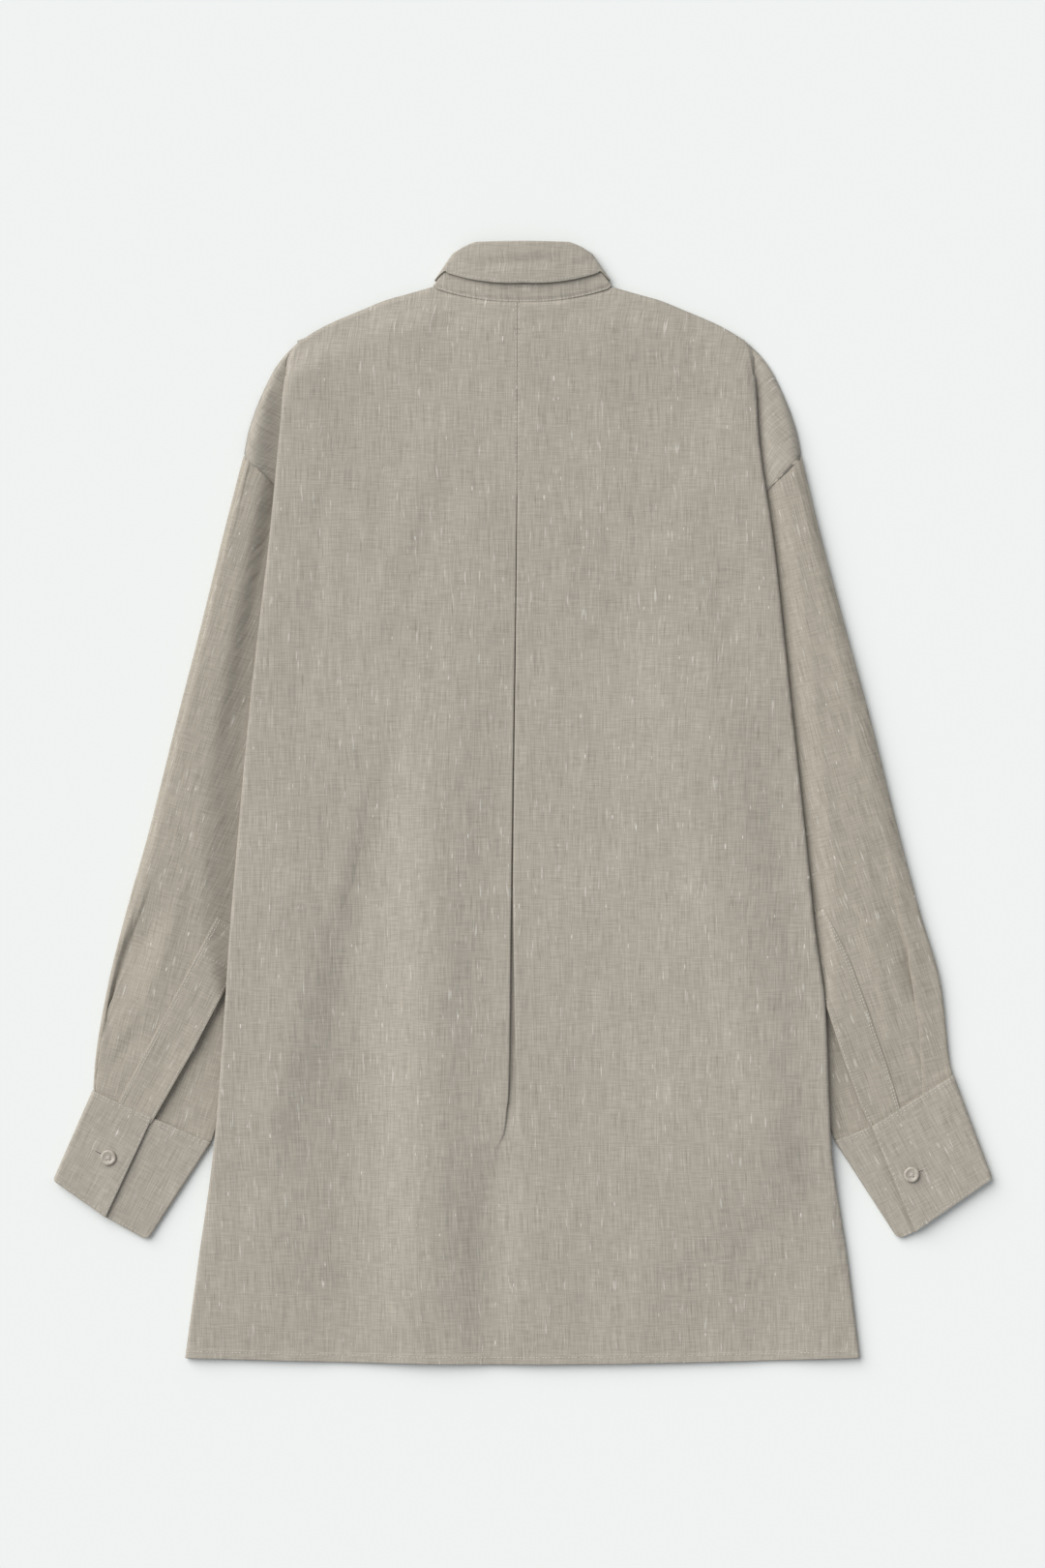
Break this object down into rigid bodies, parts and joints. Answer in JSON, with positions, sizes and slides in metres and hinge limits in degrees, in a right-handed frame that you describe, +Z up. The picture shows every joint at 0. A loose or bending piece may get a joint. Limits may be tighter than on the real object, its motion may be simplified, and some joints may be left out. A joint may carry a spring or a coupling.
{
  "type": "linen shirt",
  "caption": "Oversized long-sleeved linen shirt laid flat on its front, with a two-piece collar, a back pleat, slit plackets and buttoned cuffs.",
  "frame": {"origin": "middle of the laid-out shirt's footprint, on the surface that it lies on", "axes": "+X across the shirt toward the wearer's right sleeve, +Y from the hem toward the collar, +Z up out of the back"},
  "size_m": [0.728, 0.8698, 0.0115],
  "materials": {
    "body_linen": "plain-woven greige linen, soft and matte",
    "sleeve_linen": "plain-woven greige linen, soft and matte",
    "collar_cuff_linen": "plain-woven greige linen over a light interlining, matte",
    "button": "satin, horn-like"
  },
  "bodies": {
    "root": {"back": "body_linen", "front_left": "body_linen", "front_right": "body_linen", "sleeve_left": "sleeve_linen", "sleeve_right": "sleeve_linen", "placket_left": "sleeve_linen", "placket_right": "sleeve_linen", "cuff_left": "collar_cuff_linen", "cuff_right": "collar_cuff_linen", "collar_stand": "collar_cuff_linen", "collar_leaf": "collar_cuff_linen", "cuff_button_left": "button", "cuff_button_right": "button", "front_button_1": "button", "front_button_2": "button", "front_button_3": "button", "front_button_4": "button", "front_button_5": "button", "front_button_6": "button", "front_button_7": "button"}
  },
  "joints": []
}
